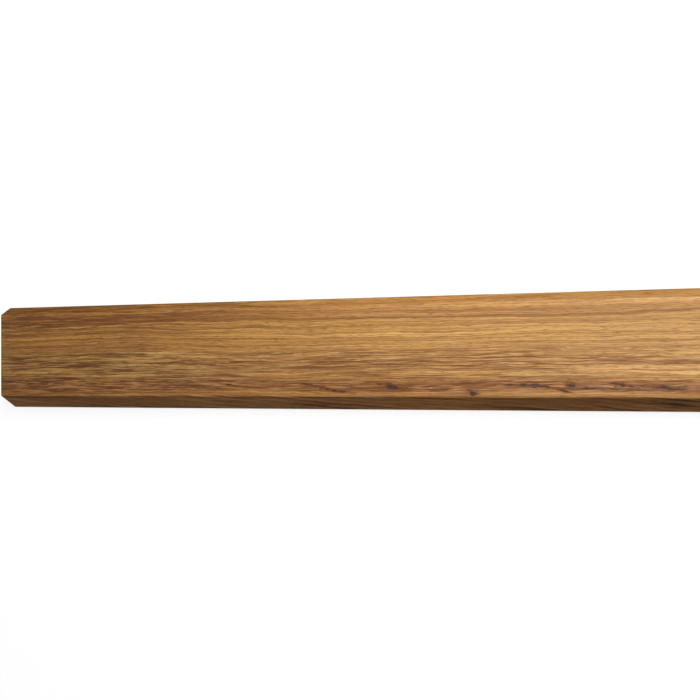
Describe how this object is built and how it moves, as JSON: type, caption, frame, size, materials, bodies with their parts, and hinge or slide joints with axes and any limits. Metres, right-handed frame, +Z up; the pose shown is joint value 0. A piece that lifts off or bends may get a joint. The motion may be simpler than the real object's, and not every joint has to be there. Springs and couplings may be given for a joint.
{
  "type": "threshold strip",
  "caption": "Flat wooden threshold bar with bevelled long sides that clips onto a concealed, screwed aluminium floor rail.",
  "frame": {"origin": "middle of the strip's length and width, at floor level", "axes": "+X along the strip, +Y across it towards the side with the taller upright land, +Z up from the floor"},
  "size_m": [0.9, 0.05, 0.012],
  "materials": {
    "hardwood": "oiled, satin",
    "rail_aluminium": "mill finish extrusion",
    "clip_nylon": "natural moulded nylon",
    "seal_foam": "closed-cell foam"
  },
  "bodies": {
    "rail": {"floor_rail": "rail_aluminium"},
    "cover": {"cover_strip": "hardwood", "spring_clip_1": "clip_nylon", "spring_clip_2": "clip_nylon", "spring_clip_3": "clip_nylon", "spring_clip_4": "clip_nylon", "spring_clip_5": "clip_nylon", "spring_clip_6": "clip_nylon", "spring_clip_7": "clip_nylon", "seal_front": "seal_foam", "seal_back": "seal_foam"}
  },
  "joints": [
    {"name": "cover_lift", "type": "slide", "parent": "rail", "child": "cover", "axis": [0, 0, 1], "range_m": [0, 0.025]}
  ]
}
